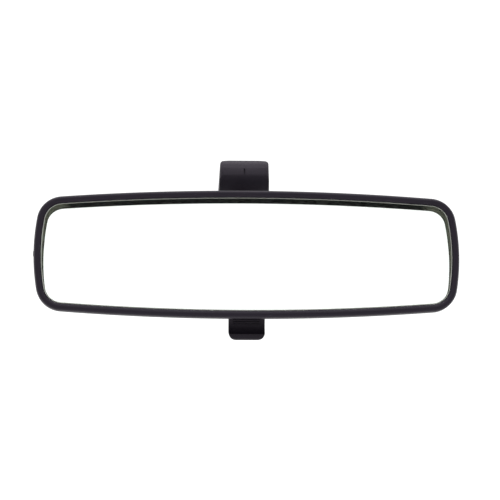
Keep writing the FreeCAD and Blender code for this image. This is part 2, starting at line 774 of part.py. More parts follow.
def scoop_front(level):
    """Front of the scooped face at a level below the pivot, about the chord of its arc."""
    start, end = -SCOOP_TOP, -LIP_TOP
    share = (level - start) / (end - start)
    chord = -LEVER_T / 2 + share * (LEVER_T / 2 - LIP_REACH)
    return chord + 4 * SCOOP_BULGE * share * (1 - share)


def make_dip_lever():
    """Hub in two halves with crank cheeks, and the tab that a finger flips."""
    tab = join([tab_section().common(tab_outline())] + grip_ribs())
    tab.rotate(V(0, 0, 0), X, LEVER_REST)
    tab.translate(PIVOT)
    hub = disc_x_between(HUB_R, CHEEK_IN, LEVER_WIDTH / 2, PIVOT)
    lobe = disc_x_between(CRANK_LOBE_R, CHEEK_IN, CHEEK_OUT, CRANK)
    along = CRANK - PIVOT
    across = V(0, along.z, -along.y) * (1 / along.Length)
    corners = [PIVOT + across * HUB_R, CRANK + across * CRANK_LOBE_R,
               CRANK - across * CRANK_LOBE_R, PIVOT - across * HUB_R]
    cheek = polygon([point + X * CHEEK_IN for point in corners]).extrude(X * (CHEEK_OUT - CHEEK_IN))
    half_tab = LEVER_T / 2
    corners_of_root = [(-half_tab, 0), (half_tab, 0), (half_tab, -TAB_TOP), (-half_tab, -TAB_TOP)]
    root = section(corners_of_root, LEVER_WIDTH / 2)
    root.rotate(V(0, 0, 0), X, LEVER_REST)
    root.translate(PIVOT)
    root = root.cut(box((-CHEEK_IN, -BEYOND, -BEYOND), (CHEEK_IN, BEYOND, BEYOND)))
    pieces = [tab, root] + mirrored(hub) + mirrored(lobe) + mirrored(cheek)
    lever = join(pieces)
    return lever.cut(rod_x(PIN_R + RUN_GAP, BEYOND, PIVOT)).cut(rod_x(PIN_R, BEYOND, CRANK))


def make_detent_spring():
    """Steel leaf with two legs that press on the lever's hub."""
    base = LEAF_BASE_FRONT
    touch = PIVOT.y + HUB_R + LEAF_HUB_GAP
    front = [(base, LEAF_TOP), (base, LEAF_BEND), (touch, LEAF_TOUCH), (touch + LEAF_HUB_GAP, LEAF_FOOT)]
    rear = [(y + LEAF_T, z) for y, z in reversed(front)]
    leaf = section(front + rear, LEAF_HALF)
    leaf = leaf.cut(box((-LEAF_WINDOW_HALF, 0, -BEYOND), (LEAF_WINDOW_HALF, BEYOND, LEAF_WINDOW_TOP)))
    return leaf.cut(disc_y(SCREW_R, 0, BEYOND, 0, LEAF_SCREW_HEIGHT))


def make_detent_screw():
    """Screw that holds the detent spring on its boss."""
    return screw(LEAF_BASE_FRONT, 0, LEAF_SCREW_HEIGHT, LEAF_T + SCREW_BITE - SCREW_TIP_GAP)


# Windscreen mount: x across, up along the windscreen and out through it

def on_screen(x, up, out):
    """Point given along the windscreen."""
    rake = math.radians(RAKE)
    return V(x, -up * math.cos(rake) + out * math.sin(rake), up * math.sin(rake) + out * math.cos(rake))


def button_face(grow, out):
    """Face of the button's outline: round at the top, square at the foot."""
    half = BUTTON_HALF + grow
    turn = BUTTON_LENGTH / 2 - BUTTON_HALF
    foot = -BUTTON_LENGTH / 2 - grow
    left, right = on_screen(-half, turn, out), on_screen(half, turn, out)
    low_left, low_right = on_screen(-half, foot, out), on_screen(half, foot, out)
    return face_of([arc(left, on_screen(0, turn + half, out), right), line(right, low_right),
                    line(low_right, low_left), line(low_left, left)])


def button_slab(grow, out_high, out_low):
    """Solid of the button's outline between two distances out of the windscreen."""
    return button_face(grow, out_high).extrude(on_screen(0, 0, out_low - out_high))


def wire_tube(radius):
    """Round the button's sides and top: the lock spring, or with more radius, its channel."""
    half = BUTTON_HALF + WIRE_OUT
    turn = BUTTON_LENGTH / 2 - BUTTON_HALF
    out = -PAD_THICK - BUTTON_T / 2
    foot = turn - WIRE_LEG
    route = Part.Wire([line(on_screen(-half, foot, out), on_screen(-half, turn, out)),
                       arc(on_screen(-half, turn, out), on_screen(0, turn + half, out),
                           on_screen(half, turn, out)),
                       line(on_screen(half, turn, out), on_screen(half, foot, out))])
    along = on_screen(0, 1, 0)
    ring = Part.Wire(Part.makeCircle(radius, on_screen(-half, foot, out), along))
    return route.makePipeShell([ring], True, True)


def make_adhesive_pad():
    """Double-sided foam pad between the windscreen and the button."""
    return button_slab(-PAD_INSET, 0.0, -PAD_THICK)


def make_mount_button():
    """Metal button with a groove round its side for the lock spring."""
    return button_slab(0.0, -PAD_THICK, -PAD_THICK - BUTTON_T).cut(wire_tube(WIRE_R + FIT_GAP))


def make_lock_spring():
    """Bent wire that snaps into the button's groove and holds the foot."""
    return wire_tube(WIRE_R)


def foot_side():
    """Side view of the foot: rounded front, crease, under-side and heel."""
    shoulder = V(0, FOOT_TOP_FRONT, FOOT_TOP - FOOT_CROWN)
    crease = V(0, FOOT_FRONT, CREASE)
    under = V(0, ARM_FRONT, UNDER_LEVEL)
    waist = V(0, ARM_FRONT, ARM_SHOULDER)
    rear = V(0, ARM_REAR_HIGH, ARM_SHOULDER)
    heel = V(0, HEEL[0], HEEL[1])
    heel_top = V(0, HEEL_TOP[0], HEEL_TOP[1])
    top = V(0, FOOT_TOP_FRONT, BEYOND)
    front_mid = (shoulder + crease) * 0.5 + V(0, -FOOT_BULGE, 0)
    under_mid = (crease + under) * 0.5 + V(0, -FOOT_BULGE, -FOOT_BULGE)
    edges = [line(top, shoulder), arc(shoulder, front_mid, crease), arc(crease, under_mid, under),
             line(under, waist), line(waist, rear), line(rear, heel), line(heel, heel_top),
             line(heel_top, V(0, HEEL_TOP[0], BEYOND)), line(V(0, HEEL_TOP[0], BEYOND), top)]
    face = face_of(edges)
    face.translate(X * -BEYOND)
    return face.extrude(X * (2 * BEYOND))


def foot_from_front():
    """Front view of the foot: crowned top, round corners and a waist down to the arm."""
    r = FOOT_CORNER_R
    bend = r * (1 - math.sqrt(0.5))
    corner_top = FOOT_TOP - FOOT_CROWN
    half = [V(FOOT_TOP_HALF - r, 0, corner_top), V(FOOT_TOP_HALF - bend, 0, corner_top - bend),
            V(FOOT_TOP_HALF, 0, corner_top - r), V(FOOT_LOW_HALF, 0, UNDER_LEVEL),
            V(ARM_HALF + WAIST_IN, 0, (UNDER_LEVEL + ARM_SHOULDER) / 2 - WAIST_IN),
            V(ARM_HALF, 0, ARM_SHOULDER)]
    edges = [arc(V(-half[0].x, 0, half[0].z), V(0, 0, FOOT_TOP), half[0])]
    for sign in (1, -1):
        at = [V(sign * point.x, 0, point.z) for point in half]
        edges += [arc(at[0], at[1], at[2]), line(at[2], at[3]), arc(at[3], at[4], at[5])]
    edges.append(line(half[5], V(-half[5].x, 0, half[5].z)))
    face = Part.Face(Part.Wire(Part.__sortEdges__(edges)))
    face.translate(Y * -BEYOND)
    return face.extrude(Y * (2 * BEYOND))


def foot_from_above():
    """Plan view of the foot: crowned front with round corners."""
    r = FOOT_CORNER_R
    bend = r * (1 - math.sqrt(0.5))
    front = FOOT_FRONT - FOOT_BULGE / 2
    side = front + PLAN_CROWN
    half = [V(FOOT_LOW_HALF - r, side, 0), V(FOOT_LOW_HALF - bend, side + bend, 0),
            V(FOOT_LOW_HALF, side + r, 0), V(FOOT_LOW_HALF, BEYOND, 0)]
    edges = [arc(V(-half[0].x, side, 0), V(0, front, 0), half[0])]
    for sign in (1, -1):
        at = [V(sign * point.x, point.y, 0) for point in half]
        edges += [arc(at[0], at[1], at[2]), line(at[2], at[3])]
    edges.append(line(half[3], V(-half[3].x, BEYOND, 0)))
    face = Part.Face(Part.Wire(Part.__sortEdges__(edges)))
    face.translate(Z * -BEYOND)
    return face.extrude(Z * (2 * BEYOND))


def arm_bar():
    """Bar from inside the foot down to the stud's boss, its long edges rounded."""
    ball_z = BALL_IN_FRAME.z
    points = [(ARM_FRONT, ARM_SHOULDER + ARM_OVERLAP), (ARM_FRONT, ball_z), (ARM_REAR_LOW, ball_z),
              (ARM_REAR_HIGH, ARM_SHOULDER), (ARM_REAR_HIGH, ARM_SHOULDER + ARM_OVERLAP)]
    bar = section(points, ARM_HALF)
    edges = [edge for edge in bar.Edges if abs(edge.CenterOfMass.x) > ARM_HALF - NEAR]
    long_edges = [edge for edge in edges if edge.BoundBox.ZLength > ARM_EDGE_R]
    bar = bar.makeFillet(ARM_EDGE_R, long_edges)
    boss = disc_y(BOSS_R, STUD_SEAT, ARM_REAR_LOW + BOSS_REAR, 0, ball_z)
    round_edges = [edge for edge in boss.Edges if edge.Length > 4 * BOSS_R]
    rims = [edge for edge in round_edges if abs(edge.CenterOfMass.z - ball_z) < NEAR]
    return bar.fuse(boss.makeFillet(BOSS_EDGE_R, rims))


def make_mount_arm():
    """Foot that clips on the button, and the arm down to the ball stud."""
    foot = foot_side().common(foot_from_front()).common(foot_from_above())
    foot = foot.cut(button_slab(BEYOND, BEYOND, -RIM_STANDOFF))
    arm = join([foot, arm_bar()])
    ball_z = BALL_IN_FRAME.z
    pocket = button_slab(POCKET_GAP, 1.0, -PAD_THICK - BUTTON_T - POCKET_GAP)
    cuts = [pocket, wire_tube(WIRE_R + POCKET_GAP)]
    cuts.append(disc_y(SHANK_R, STUD_SEAT - PAST, STUD_SEAT + SHANK_LENGTH, 0, ball_z))
    cuts.append(rod_x(STUD_PIN_R, BEYOND, V(0, STUD_SEAT + STUD_PIN_PLACE, ball_z)))
    cuts += mirrored(box((CORE_IN, CORE_FLOOR, CORE_FOOT), (CORE_OUT, BEYOND, CORE_TOP)))
    cuts.append(box((-NOTCH_WIDTH / 2, -BEYOND, NOTCH_LEVEL - NOTCH_HEIGHT / 2),
                    (NOTCH_WIDTH / 2, FOOT_FRONT + NOTCH_DEPTH, NOTCH_LEVEL + NOTCH_HEIGHT / 2)))
    for cut in cuts:
        arm = arm.cut(cut)
    return arm


def make_ball_stud():
    """Ball, neck and shank in one turned piece."""
    ball_y, ball_z = BALL_IN_FRAME.y, BALL_IN_FRAME.z
    ball = Part.makeSphere(BALL_R, BALL_IN_FRAME)
    neck = disc_y(NECK_R, ball_y, STUD_SEAT, 0, ball_z)
    flare = Part.makeCone(NECK_R, NECK_FLARE_R, NECK_FLARE, V(0, STUD_SEAT - NECK_FLARE, ball_z), Y)
    shank = disc_y(SHANK_R, STUD_SEAT, STUD_SEAT + SHANK_LENGTH, 0, ball_z)
    stud = join([ball, neck, flare, shank])
    return stud.cut(rod_x(STUD_PIN_R, BEYOND, V(0, STUD_SEAT + STUD_PIN_PLACE, ball_z)))


def make_stud_pin():
    """Cross pin that keeps the stud in the arm."""
    centre = V(0, STUD_SEAT + STUD_PIN_PLACE, BALL_IN_FRAME.z)
    return rod_x(STUD_PIN_R, BOSS_R - STUD_PIN_SHORT, centre)


def main():
    """Build every node."""
    os.makedirs("parts", exist_ok=True)
    save("adhesive_pad", make_adhesive_pad())
    save("mount_button", make_mount_button())
    save("lock_spring", make_lock_spring())
    save("mount_arm", make_mount_arm())
    save("ball_stud", make_ball_stud())
    save("stud_pin", make_stud_pin())
    save_head("ball_liner", ball_shell(LINER_IN, LINER_OUT, 2))
    save_head("clamp_shell", ball_shell(CLAMP_IN, CLAMP_OUT, 4))
    save_head("toggle_bracket", make_toggle_bracket())
    save_head("socket_cap", make_socket_cap())
    save_head("seat_pad", make_seat_pad())
    save_head("pressure_spring", make_pressure_spring())
    save_head("cap_screws", make_cap_screws())
    save_head("rear_housing", make_rear_housing())
    save_head("front_bezel", make_front_bezel())
    save_head("prism_glass", make_prism_glass())
    save_head("silver_backing", make_silver_backing())
    right, left = mirrored(make_cushion())
    save_head("cushion_right", right)
    save_head("cushion_left", left)
    save_head("hinge_pin", make_hinge_pin())
    save_head("pin_clips", make_pin_clips())
    save_head("lever_pin", make_lever_pin())
    save_head("detent_spring", make_detent_spring())
    save_head("detent_screw", make_detent_screw())
    save_head("dip_lever", make_dip_lever())
    save_head("crank_pin", make_crank_pin())


main()
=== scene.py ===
import json
import math

import bmesh
import bpy
from mathutils import Matrix, Vector


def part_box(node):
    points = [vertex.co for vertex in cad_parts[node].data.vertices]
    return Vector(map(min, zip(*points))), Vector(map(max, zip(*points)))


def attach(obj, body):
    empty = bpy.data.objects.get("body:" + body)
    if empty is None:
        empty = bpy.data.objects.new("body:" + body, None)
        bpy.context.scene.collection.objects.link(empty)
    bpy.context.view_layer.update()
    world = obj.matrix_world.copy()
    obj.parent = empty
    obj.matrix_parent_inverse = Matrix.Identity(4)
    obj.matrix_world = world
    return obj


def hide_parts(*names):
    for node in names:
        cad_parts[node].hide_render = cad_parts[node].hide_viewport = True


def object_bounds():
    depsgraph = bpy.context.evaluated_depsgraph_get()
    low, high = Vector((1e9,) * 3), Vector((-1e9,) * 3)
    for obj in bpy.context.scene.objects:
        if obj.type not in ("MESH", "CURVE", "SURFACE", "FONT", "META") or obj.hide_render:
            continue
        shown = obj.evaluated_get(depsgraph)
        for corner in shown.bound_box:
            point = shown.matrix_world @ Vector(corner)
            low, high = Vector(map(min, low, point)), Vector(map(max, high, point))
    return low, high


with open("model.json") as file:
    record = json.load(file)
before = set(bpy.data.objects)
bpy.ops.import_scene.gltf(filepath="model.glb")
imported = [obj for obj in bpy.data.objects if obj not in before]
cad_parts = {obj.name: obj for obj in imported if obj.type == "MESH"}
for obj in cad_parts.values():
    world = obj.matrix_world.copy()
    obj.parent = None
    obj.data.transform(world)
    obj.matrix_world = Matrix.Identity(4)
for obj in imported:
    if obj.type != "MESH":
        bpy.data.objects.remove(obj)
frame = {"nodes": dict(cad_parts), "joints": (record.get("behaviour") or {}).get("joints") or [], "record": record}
CAD_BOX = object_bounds()

bl_info = {
    "name": "Rearview mirror looks",
    "version": (1, 0, 0),
    "blender": (4, 5, 0),
    "location": "3D View > Sidebar > Mirror",
    "description": "Makes the visible pieces, finishes and studio of an interior rearview mirror",
    "category": "Object",
}

MM = 0.001


# Places read from the frame

def joint_place(name):
    """Point on a joint's axis."""
    for joint in frame["joints"]:
        if joint["name"] == name:
            return Vector(joint["pos_m"])
    raise RuntimeError("no joint named " + name)


GLASS_LOW, GLASS_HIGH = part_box("prism_glass")
BEZEL_LOW, BEZEL_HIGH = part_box("front_bezel")
HEAD_CENTRE = Vector((0, GLASS_LOW.y, (GLASS_LOW.z + GLASS_HIGH.z) / 2))
LEVER_PIVOT = joint_place("lever_flip")

# The foot's edges are rounded in front of FOOT_REAR and above FOOT_LOW, the lever's below its hub
FOOT_REAR = -4 * MM
FOOT_LOW = -30 * MM
HUB_REACH = 6 * MM

# Parting nib on each end of the bezel
NIB_SIZE = Vector((1.3, 2.0, 2.8)) * MM
NIB_INSET = 0.35 * MM
NIB_DEPTH = 3.5 * MM

FLOOR_HALF = 4.0
FLOOR_CELLS = 8


# Sizes and colours that a user would change

class HeadSizes(bpy.types.PropertyGroup):
    """Sizes of the mirror's head."""
    height: bpy.props.FloatProperty(
        name="Height", description="Height of the bezel's outer outline",
        default=BEZEL_HIGH.z - BEZEL_LOW.z, unit="LENGTH")
    width: bpy.props.FloatProperty(
        name="Width", description="Width of the bezel's outer outline without the parting nibs",
        default=0.245, unit="LENGTH")
    long_edge_radius: bpy.props.FloatProperty(
        name="Long edge radius", description="Radius of the top and bottom edges",
        default=1.42, unit="LENGTH")
    end_edge_radius: bpy.props.FloatProperty(
        name="End edge radius", description="Radius of the two ends", default=0.121, unit="LENGTH")
    corner_radius: bpy.props.FloatProperty(
        name="Corner radius", description="Radius of the four corners", default=0.015, unit="LENGTH")
    glass_inset: bpy.props.FloatProperty(
        name="Glass inset", description="Bezel's outer edge to the edge of the glass",
        default=0.0039, unit="LENGTH")
    glass_middle: bpy.props.FloatProperty(
        name="Glass thickness", description="Thickness of the glass at mid-height",
        default=0.0044, unit="LENGTH")
    wedge: bpy.props.FloatProperty(
        name="Wedge angle", description="Angle between the front and the back of the glass",
        default=math.radians(3.2), unit="ROTATION")
    arris: bpy.props.FloatProperty(
        name="Arris", description="Width of the ground edge round the front of the glass",
        default=0.0008, unit="LENGTH")
    foot_rounding: bpy.props.FloatProperty(
        name="Foot rounding", description="Rounding of the foot's and the arm's edges",
        default=0.0009, unit="LENGTH")
    lever_rounding: bpy.props.FloatProperty(
        name="Lever rounding", description="Rounding of the lever's edges",
        default=0.00045, unit="LENGTH")
    margin: bpy.props.FloatProperty(
        name="Margin", description="Painted margin round the silvered back of the glass",
        default=0.0011, unit="LENGTH")
    line_width: bpy.props.FloatProperty(
        name="Line width", description="Dark line between the painted margin and the silver",
        default=0.0005, unit="LENGTH")
    silver_drop: bpy.props.FloatProperty(
        name="Silver drop", description="Extra margin along the top edge",
        default=0.0022, unit="LENGTH")
    end_margin: bpy.props.FloatProperty(
        name="End margin", description="Extra margin at the upper part of the two ends",
        default=0.0009, unit="LENGTH")
    taper_foot: bpy.props.FloatProperty(
        name="Taper foot", description="Height where the extra end margin starts",
        default=-0.024, unit="LENGTH")
    taper_length: bpy.props.FloatProperty(
        name="Taper length", description="Height over which the extra end margin grows",
        default=0.03, unit="LENGTH")


class FinishColours(bpy.types.PropertyGroup):
    """Colours of the finishes."""
    plastic: bpy.props.FloatVectorProperty(
        name="Plastic", description="Moulded plastic of the bezel, the housing and the arm",
        default=(0.0082, 0.0066, 0.0104), size=3, subtype="COLOR", min=0, max=1)
    lever: bpy.props.FloatVectorProperty(
        name="Lever", description="Moulded plastic of the lever",
        default=(0.004, 0.003, 0.005), size=3, subtype="COLOR", min=0, max=1)
    glass_tint: bpy.props.FloatVectorProperty(
        name="Glass tint", description="Body tint of the glass",
        default=(0.985, 1.0, 0.99), size=3, subtype="COLOR", min=0, max=1)
    ground_edge: bpy.props.FloatVectorProperty(
        name="Ground edge", description="Ground edge round the front of the glass",
        default=(0.62, 0.65, 0.58), size=3, subtype="COLOR", min=0, max=1)
    glass_wall: bpy.props.FloatVectorProperty(
        name="Glass wall", description="Side wall of the glass, seen through its face",
        default=(0.16, 0.175, 0.145), size=3, subtype="COLOR", min=0, max=1)
    nylon: bpy.props.FloatVectorProperty(
        name="Nylon", description="Natural nylon of the ball liner and the seat pad",
        default=(0.62, 0.59, 0.5), size=3, subtype="COLOR", min=0, max=1)
    bracket: bpy.props.FloatVectorProperty(
        name="Bracket", description="Glass-filled nylon of the bracket and the socket cap",
        default=(0.05, 0.05, 0.055), size=3, subtype="COLOR", min=0, max=1)
    steel: bpy.props.FloatVectorProperty(
        name="Steel", description="Steel pins, springs, stud and screws",
        default=(0.55, 0.55, 0.57), size=3, subtype="COLOR", min=0, max=1)


class StageSettings(bpy.types.PropertyGroup):
    """Camera, light and floor."""
    distance: bpy.props.FloatProperty(
        name="Camera distance", description="Camera to the front of the glass", default=1.05, unit="LENGTH")
    azimuth: bpy.props.FloatProperty(
        name="Azimuth", description="Camera to the left of the glass's normal",
        default=math.radians(3.2), unit="ROTATION")
    elevation: bpy.props.FloatProperty(
        name="Elevation", description="Camera below the glass's normal",
        default=math.radians(10.0), unit="ROTATION")
    roll: bpy.props.FloatProperty(
        name="Roll", description="Turn of the picture", default=math.radians(-0.27), unit="ROTATION")
    view_width: bpy.props.FloatProperty(
        name="View width", description="Width of what the camera sees at the glass",
        default=0.287, unit="LENGTH")
    aim_right: bpy.props.FloatProperty(
        name="Aim right", description="Middle of the view to the right of the head's centre",
        default=0.0013, unit="LENGTH")
    aim_up: bpy.props.FloatProperty(
        name="Aim up", description="Middle of the view above the head's centre",
        default=0.0022, unit="LENGTH")
    world: bpy.props.FloatProperty(
        name="White surround", description="Strength of the white surround", default=1.2, min=0)
    top_light: bpy.props.FloatProperty(
        name="Top light", description="Power of the softbox overhead in watts", default=10.0, min=0)
    front_light: bpy.props.FloatProperty(
        name="Front light", description="Power of the high softbox in front in watts", default=3.0, min=0)
    side_light: bpy.props.FloatProperty(
        name="Side lights", description="Power of each side softbox in watts", default=4.0, min=0)
    flag_top: bpy.props.FloatProperty(
        name="Flag top", description="Upper edge of the flag", default=0.45, unit="LENGTH")
    flag_foot: bpy.props.FloatProperty(
        name="Flag foot", description="Lower edge of the flag", default=0.25, unit="LENGTH")
    flag_half: bpy.props.FloatProperty(
        name="Flag half width", description="Half the width of the flag", default=1.5, unit="LENGTH")
    flag_distance: bpy.props.FloatProperty(
        name="Flag distance", description="Dark flag's distance in front of the windscreen face",
        default=2.0, unit="LENGTH")
    floor_drop: bpy.props.FloatProperty(
        name="Floor", description="Floor below the lever's tip", default=0.24, unit="LENGTH")


# Shader expressions

class Term:
    """A number that varies over a surface; arithmetic on it adds Math nodes."""

    def __init__(self, build, socket):
        self.build = build
        self.socket = socket

    def _math(self, operation, first, second):
        return self.build.node("ShaderNodeMath", {"operation": operation}, {0: first, 1: second})

    def __add__(self, other):
        return self._math("ADD", self, other)

    def __radd__(self, other):
        return self._math("ADD", other, self)

    def __sub__(self, other):
        return self._math("SUBTRACT", self, other)

    def __rsub__(self, other):
        return self._math("SUBTRACT", other, self)

    def __mul__(self, other):
        return self._math("MULTIPLY", self, other)

    def __rmul__(self, other):
        return self._math("MULTIPLY", other, self)

    def size(self):
        """The value without its sign."""
        return self._math("ABSOLUTE", self, 0.0)


class Surface:
    """A material under construction."""

    def __init__(self, name):
        self.material = bpy.data.materials.new("finish_" + name)
        self.material.use_nodes = True
        self.tree = self.material.node_tree
        self.tree.nodes.clear()
        self.output = self.tree.nodes.new("ShaderNodeOutputMaterial")

    def node(self, kind, settings=None, inputs=None, output=0):
        """Adds one node, sets it up and links or fills its sockets; gives one output as a Term."""
        made = self.tree.nodes.new(kind)
        for key, value in (settings or {}).items():
            if key == "stops":
                self._stops(made.color_ramp, value)
            else:
                setattr(made, key, value)
        for key, value in (inputs or {}).items():
            if isinstance(value, Term):
                self.tree.links.new(value.socket, made.inputs[key])
            else:
                made.inputs[key].default_value = value
        return Term(self, made.outputs[output])

    @staticmethod
    def _stops(ramp, stops):
        while len(ramp.elements) < len(stops):
            ramp.elements.new(0.5)
        for element, (place, value) in zip(ramp.elements, stops):
            element.position = place
            element.color = (value, value, value, 1)

    def place(self):
        """Object coordinates."""
        return self.node("ShaderNodeTexCoord", output="Object")

    def stretched(self, scale):
        """Object coordinates scaled by axis."""
        return self.node("ShaderNodeMapping", None, {"Vector": self.place(), "Scale": scale})

    def noise(self, scale, detail=3.0, where=None):
        """Smooth noise from 0 to 1."""
        vector = where or self.place()
        return self.node("ShaderNodeTexNoise", None, {"Vector": vector, "Scale": scale, "Detail": detail})

    def cells(self, scale, where=None):
        """Distance to the nearest cell centre, for moulded grain."""
        vector = where or self.place()
        return self.node("ShaderNodeTexVoronoi", None, {"Vector": vector, "Scale": scale})

    def ramp(self, value, stops):
        """Maps a value through grey stops."""
        return self.node("ShaderNodeValToRGB", {"stops": stops}, {"Fac": value})

    def blend(self, factor, first, second):
        """Mix of two colours."""
        return self.node("ShaderNodeMix", {"data_type": "RGBA"}, {0: factor, 6: first, 7: second}, 2)

    def bump(self, height, distance, strength=1.0):
        """Normal from a height."""
        inputs = {"Height": height, "Distance": distance, "Strength": strength}
        return self.node("ShaderNodeBump", None, inputs)

    def principled(self, inputs):
        """The surface's shader, linked to the output."""
        shader = self.node("ShaderNodeBsdfPrincipled", None, inputs)
        self.tree.links.new(shader.socket, self.output.inputs["Surface"])
        return self.material


def rgba(colour, gain=1.0):
    """Colour with alpha, made lighter or darker by gain."""
    return (min(colour[0] * gain, 1), min(colour[1] * gain, 1), min(colour[2] * gain, 1), 1)


def moulded_plastic(name, colour, grain_scale, grain_depth, roughness, shine):
    """Near-black moulded plastic: fine spark-eroded grain, faint flow shade and rubbed high spots."""
    surface = Surface(name)
    grain = surface.cells(grain_scale)
    fine = surface.noise(grain_scale * 1.7, 2.0)
    flow = surface.noise(28.0, 4.0)
    shade = surface.blend(flow, rgba(colour, 0.82), rgba(colour, 1.25))
    shade = surface.blend(grain * 0.35, shade, rgba(colour, 1.8))
    rough = roughness - 0.05 + flow * 0.08 + fine * 0.05
    height = grain * 0.7 + fine * 0.5
    return surface.principled({
        "Base Color": shade, "Roughness": rough, "Normal": surface.bump(height, grain_depth),
        "Specular IOR Level": shine, "Specular Tint": (0.97, 0.89, 1.0, 1.0)})


def metal(name, colour, roughness, streak, gain=1.0):
    """Steel or zinc with fine tool marks along one axis and dull patches."""
    surface = Surface(name)
    marks = surface.noise(900.0, 2.0, surface.stretched(streak))
    patch = surface.noise(120.0, 3.0)
    shade = surface.blend(patch, rgba(colour, 0.8 * gain), rgba(colour, 1.1 * gain))
    rough = roughness + marks * 0.12 + patch * 0.1
    return surface.principled({
        "Base Color": shade, "Metallic": 1.0, "Roughness": rough,
        "Normal": surface.bump(marks, 0.00002, 0.6)})


def nylon(name, colour):
    """Natural nylon: waxy, slightly cloudy."""
    surface = Surface(name)
    cloud = surface.noise(160.0, 4.0)
    shade = surface.blend(cloud, rgba(colour, 0.88), rgba(colour, 1.08))
    return surface.principled({
        "Base Color": shade, "Roughness": 0.38 + cloud * 0.12,
        "Normal": surface.bump(cloud, 0.00004), "Subsurface Weight": 0.1})


def foam(name, colour):
    """Open-cell foam."""
    surface = Surface(name)
    pores = surface.cells(1500.0)
    shade = surface.blend(pores, rgba(colour, 0.5), rgba(colour, 1.3))
    return surface.principled({
        "Base Color": shade, "Roughness": 0.92, "Normal": surface.bump(pores, 0.0003)})


def silver(name):
    """Silvered layer on the back of the glass, with a faint drift in its tone."""
    surface = Surface(name)
    drift = surface.noise(40.0, 2.0)
    shade = surface.blend(drift, (0.955, 0.965, 0.955, 1), (0.975, 0.98, 0.97, 1))
    return surface.principled({"Base Color": shade, "Metallic": 1.0, "Roughness": 0.0})


def clear_glass(name, tint):
    """Clear float glass with a faint green body."""
    surface = Surface(name)
    return surface.principled({
        "Base Color": rgba(tint), "Roughness": 0.0, "IOR": 1.52, "Transmission Weight": 1.0})


def towards_ends(surface):
    """0 along the middle of the head and 1 near its two ends; it lays the painted highlights on the ends of the
    glass.
    """
    across = surface.node("ShaderNodeSeparateXYZ", None, {"Vector": surface.place()})
    return surface.ramp(across.size() * 8.0, ((0.81, 0.0), (0.86, 1.0)))


def ground_glass(name, colour, painted_highlight_gain):
    """Ground edge of the glass: grey-green, rough and wheel-marked, with a painted highlight that makes it
    brighter at the ends by the gain given last.
    """
    surface = Surface(name)
    marks = surface.noise(1400.0, 3.0, surface.stretched((0.25, 1.0, 0.25)))
    shade = surface.blend(marks, rgba(colour, 0.7), rgba(colour, 1.35))
    # painted highlight: the same wheel marks made lighter by the gain, laid over the two ends
    painted_highlight = surface.blend(marks, rgba(colour, 0.7 * painted_highlight_gain), rgba(colour, 1.35 * painted_highlight_gain))
    shade = surface.blend(towards_ends(surface), shade, painted_highlight)
    return surface.principled({
        "Base Color": shade, "Roughness": 0.5 + marks * 0.2, "Normal": surface.bump(marks, 0.00005)})


def edge_paint(name, ends=1.0):
    """Dark grey-green paint on the margin of the glass's back, with a painted highlight that makes it paler at the
    two ends as far as ends says.
    """
    surface = Surface(name)
    marks = surface.noise(900.0, 3.0)
    shade = surface.blend(marks, (0.010, 0.012, 0.011, 1), (0.034, 0.038, 0.034, 1))
    # painted highlight: pale grey-green laid over the two ends of the margin
    painted_highlight = surface.blend(marks, (0.13, 0.14, 0.105, 1), (0.26, 0.27, 0.215, 1))
    shade = surface.blend(towards_ends(surface) * ends, shade, painted_highlight)
    return surface.principled({
        "Base Color": shade, "Roughness": 0.6 + marks * 0.2, "Specular IOR Level": 0.2})


def make_finishes():
    """Makes every finish, named after its slot."""
    colours = bpy.context.scene.mirror_colours

    # grain cells per metre, grain depth, roughness, strength of the shine
    moulded_plastic("grained_plastic", colours.plastic, 2600.0, 0.06 * MM, 0.5, 0.27)
    moulded_plastic("bezel_plastic", colours.plastic, 3400.0, 0.03 * MM, 0.42, 0.12)
    moulded_plastic("lever_plastic", colours.lever, 3400.0, 0.03 * MM, 0.42, 0.15)
    moulded_plastic("bracket_plastic", colours.bracket, 2200.0, 0.04 * MM, 0.55, 0.3)

    # roughness, stretch of the tool marks by axis, brightness
    metal("zinc", colours.steel, 0.42, (1, 1, 1), 0.75)
    metal("spring_wire", colours.steel, 0.25, (1, 1, 0.1))
    metal("stud_steel", colours.steel, 0.26, (1, 0.08, 1), 0.9)
    metal("pin_steel", colours.steel, 0.2, (0.08, 1, 1), 1.1)
    metal("spring_steel", colours.steel, 0.3, (0.2, 1, 1), 0.8)
    metal("screw_steel", colours.steel, 0.24, (1, 0.3, 1), 1.1)

    nylon("nylon", colours.nylon)
    foam("foam", (0.03, 0.03, 0.032))
    foam("foam_tape", (0.05, 0.05, 0.052))

    silver("silver")
    clear_glass("mirror_glass", colours.glass_tint)
    # the last number of each ground glass and of edge_line sets its painted highlight at the ends
    ground_glass("ground_edge", colours.ground_edge, 1.1)
    ground_glass("glass_wall", colours.glass_wall, 2.2)
    edge_paint("edge_paint")
    edge_paint("edge_line", 0.05)


def finish_of(slot):
    """A finish made by the finishes operator."""
    material = bpy.data.materials.get("finish_" + slot)
    if material is None:
        raise RuntimeError("run the finishes operator first: no " + slot)
    return material


# Head outline, in the head's own plane

def corner_centre(sizes):
    """Centre (x, z) of the upper right corner's arc, which touches the long edge and the end."""
    long_centre = Vector((0, sizes.height / 2 - sizes.long_edge_radius))
    end_centre = Vector((sizes.width / 2 - sizes.end_edge_radius, 0))
    to_long = sizes.long_edge_radius - sizes.corner_radius
    to_end = sizes.end_edge_radius - sizes.corner_radius
    across = end_centre - long_centre
    along = (to_long ** 2 - to_end ** 2 + across.length_squared) / (2 * across.length)
    aside = math.sqrt(to_long ** 2 - along ** 2)
    unit = across.normalized()
    return long_centre + unit * along + Vector((unit.y, -unit.x)) * aside


def arc_points(centre, radius, start, end, count):
    """Points along an arc from the angle start towards end, without the last."""
    points = []
    for index in range(count):
        angle = start + (end - start) * index / count
        points.append(centre + radius * Vector((math.cos(angle), math.sin(angle))))
    return points


